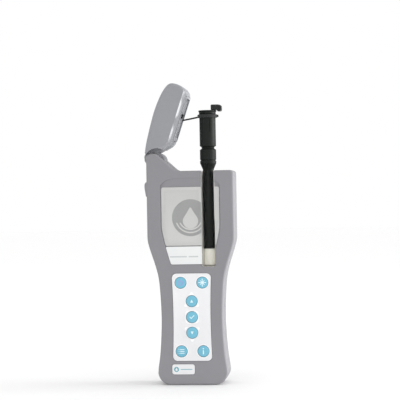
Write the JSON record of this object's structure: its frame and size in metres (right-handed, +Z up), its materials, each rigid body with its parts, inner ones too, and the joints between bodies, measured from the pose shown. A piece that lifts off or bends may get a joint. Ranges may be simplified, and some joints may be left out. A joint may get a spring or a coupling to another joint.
{
  "type": "handheld water quality meter with dip probe",
  "caption": "Slim handheld meter with a waisted grip, display and round keys, a flip lid open at the top, and a black dip probe with a clear tip drawn up out of its well on a tether.",
  "frame": {"origin": "centre of the flat foot", "axes": "+X to the right as the keys are faced, -Y out of the display, +Z up along the grip to the lid"},
  "size_m": [0.0743, 0.0319, 0.2483],
  "materials": {
    "shell": "fine matt texture, mid grey",
    "liner": "matt, darker grey",
    "window": "clear, glossy",
    "lcd": "light grey reflective display",
    "panel_white": "satin printed film, white",
    "key_blue": "soft matt silicone, light blue",
    "rubber": "matt black",
    "board": "green solder mask",
    "well_plastic": "natural milky plastic",
    "black_plastic": "satin black",
    "clear_plastic": "clear, faintly warm",
    "steel": "plated",
    "cell": "plain printed wrap"
  },
  "bodies": {
    "case": {"front_case": "shell", "rear_case": "shell", "display_window": "window", "lcd_module": "lcd", "display_label": "panel_white", "keypad_overlay": "panel_white", "name_plate": "panel_white", "keypad_mat": "rubber", "main_board": "board", "probe_well": "well_plastic", "detector_block": "black_plastic", "battery_tray": "black_plastic", "buzzer": "black_plastic", "hinge_pin": "steel", "case_screw_1": "steel", "case_screw_2": "steel", "case_screw_3": "steel", "case_screw_4": "steel", "case_screw_5": "steel", "usb_connector": "steel", "photodiode": "steel", "battery_spring_1": "steel", "battery_spring_2": "steel", "battery_contact": "steel", "battery_cell_1": "cell", "battery_cell_2": "cell"},
    "lid": {"lid_shell": "shell", "lid_liner": "liner", "lid_seal": "rubber", "tether_anchor": "rubber"},
    "tether": {"tether_band": "rubber", "tether_strap": "rubber"},
    "probe": {"probe_tube": "black_plastic", "probe_cap": "black_plastic", "pull_tab": "rubber", "light_guide": "clear_plastic", "clear_tip": "clear_plastic"},
    "battery_door": {"battery_door": "shell"},
    "port_cover": {"port_cover": "rubber"},
    "key_power": {"key_power": "key_blue"},
    "key_light": {"key_light": "key_blue"},
    "key_up": {"key_up": "key_blue"},
    "key_enter": {"key_enter": "key_blue"},
    "key_down": {"key_down": "key_blue"},
    "key_program": {"key_program": "key_blue"},
    "key_info": {"key_info": "key_blue"}
  },
  "joints": [
    {"name": "lid_hinge", "type": "hinge", "parent": "case", "child": "lid", "pos_m": [-0.0273, 0, 0.1848], "axis": [0, 1, 0], "range_deg": [0, 71.5]},
    {"name": "tether_lift", "type": "slide", "parent": "case", "child": "tether", "axis": [0, 0, -1], "range_m": [0, 0.0411]},
    {"name": "probe_pull", "type": "slide", "parent": "tether", "child": "probe", "axis": [0, 0, -1], "range_m": [-0.095, 0]},
    {"name": "battery_door_hinge", "type": "hinge", "parent": "case", "child": "battery_door", "pos_m": [0, 0.0152, 0.0109], "axis": [-1, 0, 0], "range_deg": [0, 100]},
    {"name": "port_cover_hinge", "type": "hinge", "parent": "case", "child": "port_cover", "pos_m": [-0.0364, -0.0069, 0.1555], "axis": [0, -1, 0], "range_deg": [0, 95]},
    {"name": "key_power_press", "type": "slide", "parent": "case", "child": "key_power", "axis": [0, 1, 0], "range_m": [0, 0.0007], "stiffness_N_per_m": 1200},
    {"name": "key_light_press", "type": "slide", "parent": "case", "child": "key_light", "axis": [0, 1, 0], "range_m": [0, 0.0007], "stiffness_N_per_m": 1200},
    {"name": "key_up_press", "type": "slide", "parent": "case", "child": "key_up", "axis": [0, 1, 0], "range_m": [0, 0.0007], "stiffness_N_per_m": 1200},
    {"name": "key_enter_press", "type": "slide", "parent": "case", "child": "key_enter", "axis": [0, 1, 0], "range_m": [0, 0.0007], "stiffness_N_per_m": 1200},
    {"name": "key_down_press", "type": "slide", "parent": "case", "child": "key_down", "axis": [0, 1, 0], "range_m": [0, 0.0007], "stiffness_N_per_m": 1200},
    {"name": "key_program_press", "type": "slide", "parent": "case", "child": "key_program", "axis": [0, 1, 0], "range_m": [0, 0.0007], "stiffness_N_per_m": 1200},
    {"name": "key_info_press", "type": "slide", "parent": "case", "child": "key_info", "axis": [0, 1, 0], "range_m": [0, 0.0007], "stiffness_N_per_m": 1200}
  ],
  "couplings": [
    {"joint": "tether_lift", "follows": "lid_hinge", "m_per_rad": 0.032855}
  ]
}
